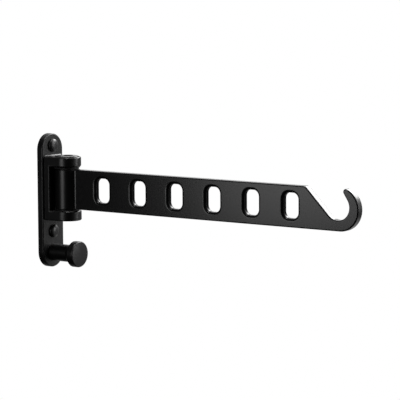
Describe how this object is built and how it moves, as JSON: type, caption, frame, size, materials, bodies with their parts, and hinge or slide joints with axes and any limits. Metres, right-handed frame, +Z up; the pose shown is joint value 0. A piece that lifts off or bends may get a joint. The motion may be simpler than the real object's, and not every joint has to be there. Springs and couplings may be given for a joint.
{
  "type": "swing-arm wall hook",
  "caption": "Wall hook with a slotted flat arm that swings sideways on a vertical hinge, an upturned hook at the arm's end and a round peg under the hinge.",
  "frame": {"origin": "middle of the wall plate's back face, where it rests on the wall", "axes": "+X out of the wall along the arm at rest, +Y across the plate, +Z up"},
  "size_m": [0.3046, 0.0264, 0.1106],
  "materials": {
    "plate_paint": "satin black powder coat",
    "fork_paint": "satin black powder coat",
    "arm_paint": "satin black powder coat",
    "peg_paint": "satin black powder coat",
    "cap_black": "smooth semi-gloss",
    "pivot_black_steel": "turned and blackened",
    "hidden_screw_zinc": "zinc plated",
    "washer_nylon": "moulded nylon",
    "bush_nylon": "moulded nylon"
  },
  "bodies": {
    "wall_bracket": {"wall_plate": "plate_paint", "hinge_fork": "fork_paint", "fork_screw_upper": "hidden_screw_zinc", "fork_screw_lower": "hidden_screw_zinc", "peg": "peg_paint", "peg_screw": "hidden_screw_zinc", "screw_cap_upper": "cap_black", "screw_cap_lower": "cap_black", "pivot_bolt": "pivot_black_steel", "thrust_washer": "washer_nylon"},
    "swing_arm": {"barrel": "arm_paint", "arm_plate": "arm_paint", "weld_left": "arm_paint", "weld_right": "arm_paint", "bush_upper": "bush_nylon", "bush_lower": "bush_nylon"}
  },
  "joints": [
    {"name": "arm_swing", "type": "hinge", "parent": "wall_bracket", "child": "swing_arm", "pos_m": [0.021, 0, 0.0105], "axis": [0, 0, 1], "range_deg": [-90, 90]}
  ]
}
